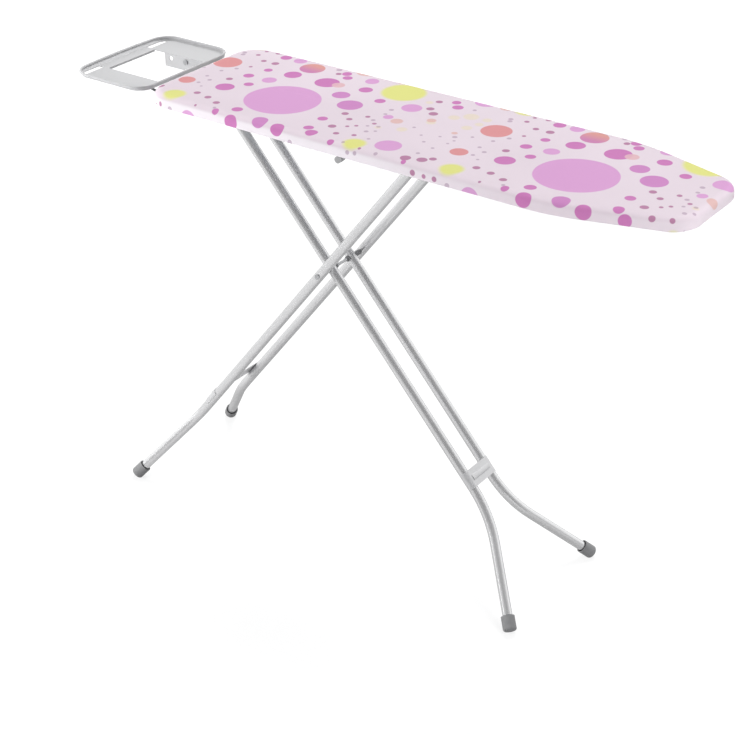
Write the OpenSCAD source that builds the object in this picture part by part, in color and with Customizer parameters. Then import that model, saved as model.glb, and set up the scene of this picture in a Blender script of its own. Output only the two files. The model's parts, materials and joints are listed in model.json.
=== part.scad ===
// Folding ironing board with an iron rest, two crossed leg frames and a stepless height brake.
// Millimetres. +X towards the nose, +Y to the far side, +Z up.
// The origin is on the floor, midway between the outer end of the iron rest and the nose.

/* [Board] */
// Height of the ironing surface above the floor
surface_h = 931.3; // [900:1:960]
// Length of the padded board
board_l = 1142; // [1050:1:1250]
// Width of the padded board
board_w = 336; // [300:1:380]
// Depth of the covered edge
edge_h = 25; // [23:0.5:32]
// Radius of the rear corners
rear_r = 58; // [50:1:110]
// Distance from the nose to where the sides start to taper
taper_l = 222; // [180:1:300]
// Radius where a side turns into the taper
taper_r = 420; // [200:5:500]
// Width between the corners of the blunt nose
nose_w = 200; // [150:1:230]
// Radius of the nose corners
nose_r = 58; // [35:1:62]
// Rounding of the top edge
crown_r = 7; // [4:0.5:9]

/* [Cover and pad] */
// Thickness of the cotton cover
cover_t = 1.2; // [0.8:0.1:2]
// Width of the cover turned under the edge
hem_w = 24; // [18:1:30]
// Gap between a soft piece and its neighbour
soft_gap = 0.3; // [0.2:0.05:0.5]

/* [Board frame] */
// Sheet thickness of the rim, struts and brackets
sheet_t = 1.2; // [1:0.1:1.6]
// Thickness of the perforated top sheet
mesh_t = 1; // [0.8:0.1:1.5]
// Diameter of a ventilation hole
mesh_hole_d = 14; // [8:1:18]
// Distance between ventilation holes
mesh_pitch = 34; // [28:1:48]
// Width of a cross strut
strut_w = 30; // [24:1:36]
// Distance from a strut's end to the board's edge
strut_end_gap = 10; // [8:0.5:14]

/* [Legs] */
// Outer diameter of a leg tube
tube_d = 20; // [16:0.5:24]
// Wall of a leg tube
tube_wall = 1; // [0.8:0.1:1.5]
// Distance from the board's rear end to the axle
axle_from_rear = 355; // [330:1:380]
// Depth of the leg hinge and the slider below the ironing surface
hinge_drop = 56.3; // [55:0.1:60]
// Depth of the axle below the leg hinge
axle_drop = 280.7; // [265:1:295]
// Slope of the inner legs
inner_slope = 48.33; // [44:0.1:52]
// Slope of the outer legs
outer_slope = 52.26; // [48:0.1:56]
// Distance between the inner tubes' centre lines
inner_track = 65.8; // [62:0.2:72]
// Distance between the outer tubes' centre lines
outer_track = 141; // [136:0.5:150]
// Where the inner legs start to splay, from the axle
inner_bend_at = 521; // [500:1:540]
// Radius of the inner legs' bend
inner_bend_r = 213; // [120:1:230]
// Angle of the inner legs' bend
inner_bend = 32.6; // [26:0.2:35]
// Where the outer legs start to splay, from the axle
outer_bend_at = 521; // [500:1:530]
// Radius of the outer legs' bend
outer_bend_r = 130; // [100:1:150]
// Angle of the outer legs' bend
outer_bend = 26; // [22:0.2:30]
// Length of a tube beyond its hinge or slider rod
tube_tail = 14; // [12:0.5:16]
// Width of the cross plate between the inner legs
inner_plate_w = 36; // [30:1:42]
// Width of the cross plate between the outer legs
outer_plate_w = 40; // [34:1:46]
// Thickness of the cross plates
plate_t = 1.5; // [1.2:0.1:2]

/* [Feet] */
// Diameter of a foot cap
foot_d = 27.5; // [25:0.5:32]
// Length of a foot cap
foot_l = 30; // [26:1:38]
// Rounding of a foot cap's end
foot_round = 5; // [3:0.5:6]
// Depth of the flat that a foot cap stands on
foot_flat = 0.6; // [0.4:0.1:0.9]

/* [Rods and fits] */
// Diameter of the axle
axle_d = 6; // [5:0.5:8]
// Diameter of the leg hinge rod and of the slider rod
rod_d = 8; // [6:0.5:9]
// Radial clearance of a rod in its hole
run_gap = 0.05; // [0.02:0.01:0.09]
// Sideways gap between moving pieces
side_gap = 0.4; // [0.3:0.05:0.6]
// Extra height in the guide slots
slot_play = 2.6; // [2.6:0.1:3.2]
// Diameter of a slider glide's hub
glide_d = 10; // [9.5:0.1:11]

/* [Height brake] */
// Distance from the slider rod back to the lever rod, with the legs standing
lever_behind = 93.8; // [80:0.1:100]
// Distance from the slider rod on to the brake bar's pivot, with the legs folded
brake_pivot_beyond = 79; // [70:1:84]
// Diameter of the lever rod
lever_d = 6; // [5:0.5:6]
// Depth of the lever rod's centre below the covered edge
lever_drop = 4.3; // [4:0.1:6]
// Reach of the crank from the lever rod to its pin, along the board
crank_x = 38; // [34:1:42]
// Width of the brake bar
brake_w = 24; // [20:1:26]
// Gap between the brake lining and the slider rod
brake_gap = 0.3; // [0.2:0.05:0.4]
// Length of the lever grip
grip_l = 15; // [13:1:34]

/* [Iron rest] */
// Length of the iron rest along the board
rest_l = 195; // [180:1:220]
// Width of the iron rest
rest_w = 286; // [260:1:310]
// Gap between the iron rest and the board
rest_gap = 27; // [20:1:34]
// Corner radius of the iron rest
rest_r = 39; // [32:1:56]
// Bow of the iron rest's outer side
rest_bow = 6; // [2:0.5:8]
// Depth of the iron rest's rim below the ironing surface
rest_drop = 12; // [9:0.5:14]
// Height of the iron rest's rim
rest_rim_h = 9; // [8:0.5:12]
// Width of the rolled top of the rim
rest_bead = 4; // [3.5:0.5:5]
// Distance between the tray's two bent-down flanges
flange_track = 140; // [130:1:150]
// Depth of a flange
flange_h = 28; // [24:1:30]
// Diameter of the rest's arms
arm_d = 5; // [4:0.5:6]
// Distance from the board's edge to the middle of an arm's socket
socket_inset = 50; // [46:1:60]

/* [Hidden] */
$fn = 48;

// A short overlap that makes cuts run right through
eps = 1;

// Places along the board
overall_l = rest_l + rest_gap + board_l;
rest_x = -overall_l / 2;
rear_x = rest_x + rest_l + rest_gap;
nose_x = rear_x + board_l;
taper_x = nose_x - taper_l;
axle_x = rear_x + axle_from_rear;
half_w = board_w / 2;

// Heights in the board, from the top down
edge_z = surface_h - edge_h;
cover_in_z = surface_h - cover_t;
pad_top = cover_in_z - soft_gap;
lip_z = edge_z + cover_t + soft_gap;
strut_z = lip_z + sheet_t;
strut_h = 12;
mesh_z = strut_z + strut_h;
pad_z = mesh_z + mesh_t + soft_gap;
rim_inset = cover_t + soft_gap;
lip_inset = rim_inset + sheet_t + hem_w;

// Legs
hinge_z = surface_h - hinge_drop;
axle_h = hinge_z - axle_drop;
inner_up = axle_drop / sin(inner_slope);
outer_up = axle_drop / sin(outer_slope);
hinge_x = axle_x - inner_up * cos(inner_slope);
slider_x = axle_x + outer_up * cos(outer_slope);
inner_y = inner_track / 2;
outer_y = outer_track / 2;
tube_r = tube_d / 2;
foot_r = foot_d / 2;
inner_plate_at = inner_bend_at - inner_plate_w;
outer_plate_at = outer_bend_at - outer_plate_w - 22;
saddle_gap = 0.1;

// Position of the slider rod when the legs are folded by the share t, from standing to flat
function rod_at(t) = [
    hinge_x + inner_up * cos(inner_slope * (1 - t)) + outer_up * cos(outer_slope * (1 - t)),
    hinge_z - inner_up * sin(inner_slope * (1 - t)) + outer_up * sin(outer_slope * (1 - t))
];
folded_slider_x = rod_at(1).x;

// Guide rails
rail_y = outer_y + tube_r + 3.5;
rail_t = 2;
rail_flange = 16;
rail_skirt = 4;
slot_low = glide_d / 2 + 0.35;
slot_r = slot_low + slot_play / 2;
slot_z = hinge_z + slot_play / 2;
rail_start_x = slider_x - 24;
rail_end_x = folded_slider_x + 24;
glide_flange_r = 8;
glide_flange_t = 2;

// Lever and brake
lever_x = slider_x - lever_behind;
lever_z = edge_z - lever_drop;
lever_r = lever_d / 2;
brake_x = folded_slider_x + brake_pivot_beyond;
bar_t = 1.5;
bar_h = 13.5;
bar_z = hinge_z + rod_d / 2 + 3;
bar_pin_z = bar_z + 6;
crank_z = lever_z - bar_pin_z;
bar_start_x = lever_x + crank_x - 12;
bar_end_x = brake_x + 13;
lining_start_x = slider_x - 14;
lining_end_x = folded_slider_x + 14;
pin_r = 2.5;
brake_pin_r = 3;
crank_t = 2;
crank_y = brake_w / 2 + 1.2;
ear_t = 2;
bearing_y = crank_y + crank_t + 1;
bearing_inset = 38;
outer_bearing_y = half_w - bearing_inset;
bearing_foot_w = 12;
grip_w = 12;
grip_d = 13;
grip_neck_d = 8;
grip_drop = 2.5;
rod_end_inset = 6;
crank_r = 5;

// Struts, by the middle of their width
rear_strut_from_end = 45;
middle_strut_behind = 60;
rear_strut_x = rear_x + rear_strut_from_end;
middle_strut_x = axle_x - middle_strut_behind;
centre_strut_x = (slider_x + folded_slider_x) / 2;

// Iron rest
rest_end_x = rest_x + rest_l;
rest_z = surface_h - rest_drop;
tray_z = rest_z - rest_rim_h - sheet_t;
rest_wall = 1.5;
flange_y = flange_track / 2;
heel_lean = 14;
side_lean = 7;
inner_lean = 6;
opening_setback = 41;
opening_from_end = 17;
open_start_x = rest_x + opening_setback;
open_end_x = rest_end_x - opening_from_end;
flange_setback = 69;
flange_foot_l = 50;
flange_slope_l = 57;
hole_drop = 9;
hole_setback = 17;
hole_pitch = 40.5;
flange_start_x = rest_x + flange_setback;
flange_foot_x = flange_start_x + flange_foot_l;
flange_end_x = flange_foot_x + flange_slope_l;
bolt_z = tray_z - hole_drop;
free_hole_x = flange_start_x + hole_setback;
bolt_x = free_hole_x + hole_pitch;
bolt_r = 3;
free_hole_r = 5;
tab_t = 2;
tab_y = flange_y + sheet_t + 0.1;
tab_half = 9;
tab_lap = 14;
tab_h = 14;
arm_sunk = 0.8;
arm_past_socket = 8;
arm_start = [bolt_x + tab_half, tab_y + tab_t + arm_d / 2 - arm_sunk];
socket_y = half_w - socket_inset;
arm_spread = atan((socket_y - arm_start.y) / (rear_strut_x - arm_start.x));
arm_l = (rear_strut_x + arm_past_socket - arm_start.x) / cos(arm_spread);

// ---------- outlines ----------

function unit(v) = v / norm(v);

// Points of an arc of radius r that rounds the corner p between the points a and b
function corner_arc(p, a, b, r, n) =
    let (
        u = unit(a - p),
        v = unit(b - p),
        half = acos(u * v) / 2,
        c = p + unit(u + v) * r / sin(half),
        s = p + u * r / tan(half) - c,
        e = p + v * r / tan(half) - c,
        a0 = atan2(s.y, s.x),
        turn = (atan2(e.y, e.x) - a0 + 540) % 360 - 180
    )
    [for (i = [0:n]) c + r * [cos(a0 + turn * i / n), sin(a0 + turn * i / n)]];

// A rounded outline: corners are [x, y, radius, steps], anticlockwise, moved inwards by inset
function rounded(corners, inset) =
    let (
        m = len(corners),
        p = [for (c = corners) [c[0], c[1]]],
        n = [for (i = [0:m - 1]) let (d = unit(p[(i + 1) % m] - p[i])) [-d.y, d.x]],
        q = [for (i = [0:m - 1]) let (a = n[(i + m - 1) % m], b = n[i]) p[i] + inset * (a + b) / (1 + a * b)]
    )
    [for (i = [0:m - 1]) each
        corner_arc(q[i], q[(i + m - 1) % m], q[(i + 1) % m], corners[i][2] - inset, corners[i][3])];

board_corners = [
    [rear_x, -half_w, rear_r, 10], [taper_x, -half_w, taper_r, 5], [nose_x, -nose_w / 2, nose_r, 9],
    [nose_x, nose_w / 2, nose_r, 9], [taper_x, half_w, taper_r, 5], [rear_x, half_w, rear_r, 10]
];

rest_corners = [
    [rest_x + rest_bow, -rest_w / 2, rest_r, 8], [rest_end_x, -rest_w / 2, rest_r, 8],
    [rest_end_x, rest_w / 2, rest_r, 8], [rest_x + rest_bow, rest_w / 2, rest_r, 8],
    [rest_x, 0, 600, 4]
];

tray_corners = [
    [rest_x + heel_lean, side_lean - rest_w / 2, rest_r - 10, 8],
    [rest_end_x - inner_lean, side_lean - rest_w / 2, rest_r - 10, 8],
    [rest_end_x - inner_lean, rest_w / 2 - side_lean, rest_r - 10, 8],
    [rest_x + heel_lean, rest_w / 2 - side_lean, rest_r - 10, 8]
];

module board_outline(inset = 0) {
    polygon(rounded(board_corners, inset));
}

module rest_outline(inset = 0) {
    polygon(rounded(rest_corners, inset));
}

module tray_outline(inset = 0) {
    polygon(rounded(tray_corners, inset));
}

// Half the board's width at x, moved inwards by inset
function half_width(x, inset) =
    x < rear_x + rear_r
        ? half_w - rear_r + sqrt(max(0, pow(rear_r - inset, 2) - pow(rear_x + rear_r - x, 2)))
        : x < taper_x
            ? half_w - inset
            : half_w - inset - (x - taper_x) * (half_w - nose_w / 2) / taper_l;

// ---------- soft pieces ----------

// A board-shaped block from z0 to z1 whose top edge is rounded
module crowned(z0, z1, inset, r) {
    hull() {
        translate([0, 0, z0])
            linear_extrude(z1 - r - z0)
                board_outline(inset);
        for (a = [30:30:90])
            translate([0, 0, z1 - r + r * sin(a) - 0.1])
                linear_extrude(0.1)
                    board_outline(inset + r * (1 - cos(a)));
    }
}

module cover() {
    color("#e8dce9")
    difference() {
        crowned(edge_z, surface_h, 0, crown_r);
        crowned(edge_z + cover_t, cover_in_z, cover_t, crown_r - cover_t);
        translate([0, 0, edge_z - eps])
            linear_extrude(cover_t + 2 * eps)
                board_outline(hem_w);
    }
}

module foam_pad() {
    color("#dcdcd6")
    crowned(pad_z, pad_top, rim_inset, crown_r - rim_inset);
}

// ---------- board frame ----------

module rim_frame() {
    color("#c9ccd0")
    difference() {
        translate([0, 0, lip_z])
            linear_extrude(mesh_z - lip_z)
                board_outline(rim_inset);
        translate([0, 0, lip_z + sheet_t])
            linear_extrude(mesh_z - lip_z)
                board_outline(rim_inset + sheet_t);
        translate([0, 0, lip_z - eps])
            linear_extrude(sheet_t + 2 * eps)
                board_outline(lip_inset);
    }
}

mesh_rows = floor((half_w - 30) / (mesh_pitch * 0.866));
mesh_margin = 30;
mesh_side_margin = 24;
mesh_columns = floor((board_l - 2 * mesh_margin) / mesh_pitch);

module mesh_top() {
    color("#b9bcc0")
    translate([0, 0, mesh_z])
        linear_extrude(mesh_t)
            difference() {
                board_outline(rim_inset);
                for (j = [-mesh_rows:mesh_rows])
                    for (i = [0:mesh_columns]) {
                        x = rear_x + mesh_margin + 4 + mesh_pitch * (i + (abs(j) % 2) / 2);
                        y = mesh_pitch * 0.866 * j;
                        if (x < nose_x - mesh_margin && abs(y) < half_width(x, mesh_side_margin))
                            translate([x, y])
                                circle(d = mesh_hole_d, $fn = 24);
                    }
            }
}

// A channel across the board, open downwards, that stands on the rim's lip
module strut(x, half_l) {
    color("#b4b8bd")
    translate([x, 0, strut_z])
        difference() {
            translate([-strut_w / 2, -half_l, 0])
                cube([strut_w, 2 * half_l, strut_h]);
            translate([-strut_w / 2 + sheet_t, -half_l - eps, -eps])
                cube([strut_w - 2 * sheet_t, 2 * (half_l + eps), strut_h - sheet_t + eps]);
        }
}

module rear_strut() {
    strut(rear_strut_x, half_width(rear_strut_x - strut_w / 2, rim_inset) - strut_end_gap);
}

module hinge_strut() {
    strut(hinge_x, half_w - strut_end_gap);
}

module middle_strut() {
    strut(middle_strut_x, half_w - strut_end_gap);
}

module lever_strut() {
    strut(lever_x, half_w - strut_end_gap);
}

module centre_strut() {
    strut(centre_strut_x, half_w - strut_end_gap);
}

module front_strut() {
    strut(brake_x, half_width(brake_x + strut_w / 2, 0) - strut_end_gap);
}

// A plate of thickness t that stands across Y from y: as wide as w, rounded below around z
module ear(x, y, z, w, t, hole_r) {
    difference() {
        union() {
            translate([x - w / 2, y, z])
                cube([w, t, strut_z - z]);
            translate([x, y, z])
                rotate([-90, 0, 0])
                    cylinder(d = w, h = t);
        }
        translate([x, y - eps, z])
            rotate([-90, 0, 0])
                cylinder(r = hole_r, h = t + 2 * eps);
    }
}

ear_y = inner_y + tube_r + 2.1;
hinge_ear_w = 20;
small_ear_w = 14;

module leg_hinge_bracket() {
    color("#a9adb3")
    union() {
        ear(hinge_x, ear_y, hinge_z, hinge_ear_w, ear_t, rod_d / 2 + run_gap);
        ear(hinge_x, -ear_y - ear_t, hinge_z, hinge_ear_w, ear_t, rod_d / 2 + run_gap);
        translate([hinge_x - strut_w / 2, -ear_y - ear_t, strut_z - bar_t])
            cube([strut_w, 2 * (ear_y + ear_t), bar_t]);
    }
}

head_over = 2;
pin_head_over = 1.5;
head_t = 2;
axle_head_r = 5.5;

// A rod along Y from -half_l to half_l, with a flat head at each end
module headed_rod(x, z, d, half_l, head_r, head_t) {
    translate([x, -half_l, z])
        rotate([-90, 0, 0])
            union() {
                cylinder(d = d, h = 2 * half_l);
                translate([0, 0, -head_t])
                    cylinder(r = head_r, h = head_t);
                translate([0, 0, 2 * half_l])
                    cylinder(r = head_r, h = head_t);
            }
}

module leg_hinge_rod() {
    color("#8f9499")
    headed_rod(hinge_x, hinge_z, rod_d, ear_y + ear_t + side_gap, rod_d / 2 + head_over, head_t);
}

// An angle with a long slot, for the far side
module guide_rail() {
    difference() {
        union() {
            translate([rail_start_x, rail_y, slot_z - slot_r - rail_skirt])
                cube([rail_end_x - rail_start_x, rail_t, strut_z - slot_z + slot_r + rail_skirt]);
            translate([lever_x - strut_w / 2, rail_y, strut_z - rail_t])
                cube([brake_x + strut_w / 2 - lever_x + strut_w / 2, rail_flange, rail_t]);
        }
        translate([slider_x, rail_y - eps, slot_z - slot_r])
            cube([folded_slider_x - slider_x, rail_t + 2 * eps, 2 * slot_r]);
        for (x = [slider_x, folded_slider_x])
            translate([x, rail_y - eps, slot_z])
                rotate([-90, 0, 0])
                    cylinder(r = slot_r, h = rail_t + 2 * eps);
    }
}

module guide_rail_far() {
    color("#a9adb3")
    guide_rail();
}

module guide_rail_near() {
    color("#a9adb3")
    mirror([0, 1, 0])
        guide_rail();
}

// ---------- lever and brake ----------

module lever_bracket_outer() {
    color("#a9adb3")
    union() {
        ear(lever_x, -outer_bearing_y, lever_z, small_ear_w, ear_t, lever_r + run_gap);
        translate([lever_x - strut_w / 2, -outer_bearing_y, strut_z - bar_t])
            cube([strut_w, bearing_foot_w, bar_t]);
    }
}

module lever_bracket_inner() {
    color("#a9adb3")
    union() {
        ear(lever_x, bearing_y, lever_z, small_ear_w, ear_t, lever_r + run_gap);
        ear(lever_x, -bearing_y - ear_t, lever_z, small_ear_w, ear_t, lever_r + run_gap);
        translate([lever_x - strut_w / 2, -bearing_y - ear_t, strut_z - bar_t])
            cube([strut_w, 2 * (bearing_y + ear_t), bar_t]);
    }
}

brake_ear_y = brake_w / 2 + side_gap;

module brake_bracket() {
    color("#a9adb3")
    union() {
        ear(brake_x, brake_ear_y, bar_pin_z, small_ear_w, ear_t, brake_pin_r + run_gap);
        ear(brake_x, -brake_ear_y - ear_t, bar_pin_z, small_ear_w, ear_t, brake_pin_r + run_gap);
        translate([brake_x - strut_w / 2, -brake_ear_y - ear_t, strut_z - bar_t])
            cube([strut_w, 2 * (brake_ear_y + ear_t), bar_t]);
    }
}

module brake_pivot_pin() {
    color("#8f9499")
    headed_rod(brake_x, bar_pin_z, 2 * brake_pin_r, brake_ear_y + ear_t + side_gap, brake_pin_r + pin_head_over, pin_head_over);
}

// A flat crank from the lever rod to its pin, starting at y
module crank_plate(y) {
    slope = atan2(crank_z, crank_x);
    translate([lever_x, y, lever_z])
        rotate([0, slope, 0])
            union() {
                translate([0, 0, -crank_r])
                    cube([norm([crank_x, crank_z]), crank_t, 2 * crank_r]);
                for (x = [0, norm([crank_x, crank_z])])
                    translate([x, 0, 0])
                        rotate([-90, 0, 0])
                            cylinder(r = crank_r, h = crank_t);
            }
}

module lever_rod() {
    color("#9aa0a6")
    union() {
        translate([lever_x, rod_end_inset - half_w, lever_z])
            rotate([-90, 0, 0])
                cylinder(r = lever_r, h = half_w - rod_end_inset + bearing_y + ear_t + 3);
        crank_plate(crank_y);
        crank_plate(-crank_y - crank_t);
        translate([lever_x + crank_x, -crank_y - crank_t, lever_z - crank_z])
            rotate([-90, 0, 0])
                cylinder(r = pin_r, h = 2 * (crank_y + crank_t));
    }
}

module lever_grip() {
    color("#7d8085")
    difference() {
        hull() {
            translate([lever_x, -half_w + 0.5, lever_z])
                rotate([-90, 0, 0])
                    cylinder(d = grip_neck_d, h = grip_w, $fn = 32);
            translate([lever_x - grip_l + 9, -half_w + 0.5, lever_z - grip_drop])
                rotate([-90, 0, 0])
                    cylinder(d = grip_d, h = grip_w, $fn = 32);
        }
        translate([lever_x, rod_end_inset - half_w, lever_z])
            rotate([-90, 0, 0])
                cylinder(r = lever_r + 0.02, h = grip_w);
    }
}

// A torsion spring: coils that touch, and two legs beside them
module lever_spring() {
    wire = 1.2;
    turns = 6;
    coil_r = lever_r + 0.5 + wire / 2;
    leg_x = coil_r + wire + 0.05;
    coil_y = -bearing_y - ear_t - 0.5 - turns * wire;
    color("#6d7277")
    union() {
        translate([lever_x, coil_y, lever_z])
            rotate([-90, 0, 0])
                rotate_extrude()
                    for (i = [0:turns - 1])
                        translate([coil_r, wire * (0.5 + 0.95 * i)])
                            circle(d = wire, $fn = 24);
        translate([lever_x + leg_x, coil_y + 0.6 * wire, lever_z - 12])
            cylinder(d = wire, h = 14, $fn = 24);
        translate([lever_x - leg_x, coil_y + 3 * wire, lever_z - 2])
            cylinder(d = wire, h = strut_z - lever_z + 2, $fn = 24);
    }
}

module brake_bar() {
    pin_slot = pin_r + 0.4;
    color("#9aa0a6")
    difference() {
        translate([bar_start_x, -brake_w / 2, bar_z])
            cube([bar_end_x - bar_start_x, brake_w, bar_h]);
        translate([bar_start_x - eps, -brake_w / 2 + bar_t, bar_z - eps])
            cube([bar_end_x - bar_start_x + 2 * eps, brake_w - 2 * bar_t, bar_h - bar_t + eps]);
        translate([brake_x, -brake_w, bar_pin_z])
            rotate([-90, 0, 0])
                cylinder(r = brake_pin_r + run_gap, h = 2 * brake_w);
        for (x = [-1, 3])
            translate([lever_x + crank_x + x, -brake_w, lever_z - crank_z])
                rotate([-90, 0, 0])
                    cylinder(r = pin_slot, h = 2 * brake_w);
        translate([lever_x + crank_x - 1, -brake_w, lever_z - crank_z - pin_slot])
            cube([4, 2 * brake_w, 2 * pin_slot]);
    }
}

// The lining's underside follows the way of the slider rod, brake_gap above it
module brake_lining() {
    top_z = bar_z + bar_h - bar_t;
    under = rod_d / 2 + brake_gap;
    color("#3a3a3c")
    translate([0, brake_w / 2 - bar_t - 0.5, 0])
        rotate([90, 0, 0])
            linear_extrude(brake_w - 2 * bar_t - 1)
                polygon(concat(
                    [[lining_start_x, top_z], [lining_start_x, hinge_z + under]],
                    [for (i = [0:12]) rod_at(i / 12) + [0, under]],
                    [[lining_end_x, hinge_z + under], [lining_end_x, top_z]]
                ));
}

// ---------- iron rest ----------

// A band of the rest's rim between two insets
module rest_band(z, h, inset, w) {
    translate([0, 0, z])
        linear_extrude(h)
            difference() {
                rest_outline(inset);
                rest_outline(inset + w);
            }
}

// A dish that leans in from the rim to the tray, moved inwards by inset; more lengthens both ends
module dish(inset, more = 0) {
    hull() {
        translate([0, 0, rest_z - 4])
            linear_extrude(0.1 + more)
                rest_outline(1.5 + inset);
        translate([0, 0, tray_z + sheet_t - more])
            linear_extrude(0.1 + more)
                tray_outline(inset);
    }
}

module rest_rim() {
    color("#b9bcbf")
    union() {
        rest_band(rest_z - 1, 1, 1, rest_bead - 2);
        rest_band(rest_z - 3, 2, 0, rest_bead);
        rest_band(rest_z - 4, 1, 1, rest_bead - 2);
        difference() {
            dish(0);
            dish(rest_wall, eps);
        }
    }
}

slit_w = 13;
slit_l = 52;
slit_past_opening = 28;

// A bent-down flange of the tray, for the far side
module tray_flange() {
    translate([0, flange_y + sheet_t, 0])
        rotate([90, 0, 0])
            linear_extrude(sheet_t)
                difference() {
                    polygon([
                        [flange_start_x, tray_z + sheet_t], [flange_start_x, tray_z - flange_h],
                        [flange_foot_x, tray_z - flange_h], [flange_end_x, tray_z + sheet_t]
                    ]);
                    translate([free_hole_x, bolt_z])
                        circle(r = free_hole_r);
                    translate([bolt_x, bolt_z])
                        circle(r = bolt_r + 0.1);
                }
}

module rest_tray() {
    color("#c3c5c8")
    union() {
        translate([0, 0, tray_z])
            linear_extrude(sheet_t)
                difference() {
                    tray_outline();
                    translate([open_start_x, -flange_y])
                        square([open_end_x - open_start_x, 2 * flange_y]);
                    intersection() {
                        tray_outline(rest_wall);
                        for (s = [-1, 1])
                            translate([rest_x + heel_lean, s * (flange_y + slit_past_opening) - slit_l / 2])
                                square([slit_w + rest_wall, slit_l]);
                    }
                }
        tray_flange();
        mirror([0, 1, 0])
            tray_flange();
        translate([open_start_x - sheet_t, -flange_y, tray_z - 3])
            cube([sheet_t, 2 * flange_y, 3]);
    }
}

// An arm with a bolted tab, for the far side
module rest_arm() {
    difference() {
        union() {
            translate([bolt_x - tab_half, tab_y, bolt_z - tab_h / 2])
                cube([tab_half + tab_lap, tab_t, tab_h]);
            translate([arm_start.x, arm_start.y, bolt_z])
                rotate([0, 90, arm_spread])
                    cylinder(d = arm_d, h = arm_l);
        }
        translate([bolt_x, tab_y - eps, bolt_z])
            rotate([-90, 0, 0])
                cylinder(r = bolt_r + 0.1, h = tab_t + 2 * eps);
    }
}

module rest_arm_far() {
    color("#6f7276")
    rest_arm();
}

module rest_arm_near() {
    color("#6f7276")
    mirror([0, 1, 0])
        rest_arm();
}

socket_l = 24;
socket_r = arm_d / 2 + 2;
socket_web_l = 18;
socket_web_t = 3;

// A tube that takes the arm's end, welded under the rear strut, for the far side
module rest_socket() {
    difference() {
        union() {
            translate([rear_strut_x, socket_y, bolt_z])
                rotate([0, 90, arm_spread])
                    translate([0, 0, -socket_l / 2])
                        cylinder(r = socket_r, h = socket_l);
            translate([rear_strut_x, socket_y, bolt_z])
                rotate([0, 0, arm_spread])
                    translate([-socket_web_l / 2, -socket_web_t / 2, 0])
                        cube([socket_web_l, socket_web_t, strut_z + strut_h - sheet_t - bolt_z]);
        }
        translate([rear_strut_x, socket_y, bolt_z])
            rotate([0, 90, arm_spread])
                translate([0, 0, -socket_l / 2 - eps])
                    cylinder(r = arm_d / 2 + run_gap, h = socket_l + 2 * eps);
    }
}

module rest_socket_far() {
    color("#a9adb3")
    rest_socket();
}

module rest_socket_near() {
    color("#a9adb3")
    mirror([0, 1, 0])
        rest_socket();
}

bolt_head_r = 5.5;
bolt_head_t = 3;
nut_t = 4;
bolt_past_tab = 5;

// A bolt and nut through a flange and an arm's tab, for the far side
module rest_screw() {
    translate([bolt_x, flange_y, bolt_z])
        rotate([-90, 0, 0])
            union() {
                translate([0, 0, -bolt_head_t])
                    cylinder(r = bolt_head_r, h = bolt_head_t);
                cylinder(r = bolt_r, h = sheet_t + 0.1 + tab_t + bolt_past_tab);
                translate([0, 0, sheet_t + 0.1 + tab_t])
                    cylinder(r = bolt_head_r, h = nut_t, $fn = 6);
            }
}

module rest_screws() {
    color("#8f9499")
    union() {
        rest_screw();
        mirror([0, 1, 0])
            rest_screw();
    }
}

// ---------- legs ----------

// Leg frames: X runs down the leg from the axle, Z points to the upper side
module inner_frame() {
    translate([axle_x, 0, axle_h])
        rotate([0, inner_slope, 0])
            children();
}

module outer_frame() {
    translate([axle_x, 0, axle_h])
        mirror([1, 0, 0])
            rotate([0, outer_slope, 0])
                children();
}

// Height of a foot cap's end centre, so that the cap stands on its small flat
function foot_end_z(slope, bend) =
    let (down = cos(bend) * sin(slope))
    (foot_r - foot_round) * sqrt(1 - down * down) + foot_round * (1 - down) - foot_flat;

// Length of the splayed part of a leg, up to the end of its foot cap
function splay_l(slope, at, r, bend) =
    ((axle_h - foot_end_z(slope, bend)) / sin(slope) - at - r * sin(bend)) / cos(bend);

inner_splay = splay_l(inner_slope, inner_bend_at, inner_bend_r, inner_bend);
outer_splay = splay_l(outer_slope, outer_bend_at, outer_bend_r, outer_bend);
tube_end_gap = 5;

leg_sides = 24;
bend_steps = 8;

// Stations along a leg in its own plane, each [x, y, heading]: straight, bend, splay
function leg_path(y, start, at, bend_r, bend, tip) =
    let (bent = [for (i = [0:bend_steps]) let (a = bend * i / bend_steps)
        [at + bend_r * sin(a), y + bend_r * (1 - cos(a)), a]])
    concat([[start, y, 0]], bent, [bent[bend_steps] + [tip * cos(bend), tip * sin(bend), 0]]);

// A solid bar of radius r along the stations of a path
module bar_along(path, r) {
    n = leg_sides;
    last = len(path) - 1;
    polyhedron(
        points = [for (p = path) for (j = [0:n - 1]) let (t = 360 * j / n)
            [p.x - r * cos(t) * sin(p.z), p.y + r * cos(t) * cos(p.z), r * sin(t)]],
        faces = concat(
            [[for (j = [0:n - 1]) j]],
            [for (k = [0:last - 1]) for (j = [0:n - 1]) let (i = (j + 1) % n)
                [k * n + j, (k + 1) * n + j, (k + 1) * n + i, k * n + i]],
            [[for (j = [n - 1:-1:0]) last * n + j]]
        )
    );
}

// A leg of tube for the far side, with holes for the axle and for the rod at its upper end
module leg_tube(y, up, at, bend_r, bend, splay) {
    start = -up - tube_tail;
    tip = splay - tube_end_gap;
    difference() {
        bar_along(leg_path(y, start, at, bend_r, bend, tip), tube_r);
        bar_along(leg_path(y, start - eps, at, bend_r, bend, tip + eps), tube_r - tube_wall);
        translate([0, y - tube_d, 0])
            rotate([-90, 0, 0])
                cylinder(r = axle_d / 2 + run_gap, h = 2 * tube_d);
        translate([-up, y - tube_d, 0])
            rotate([-90, 0, 0])
                cylinder(r = rod_d / 2 + run_gap, h = 2 * tube_d);
    }
}

module inner_leg() {
    leg_tube(inner_y, inner_up, inner_bend_at, inner_bend_r, inner_bend, inner_splay);
}

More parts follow.
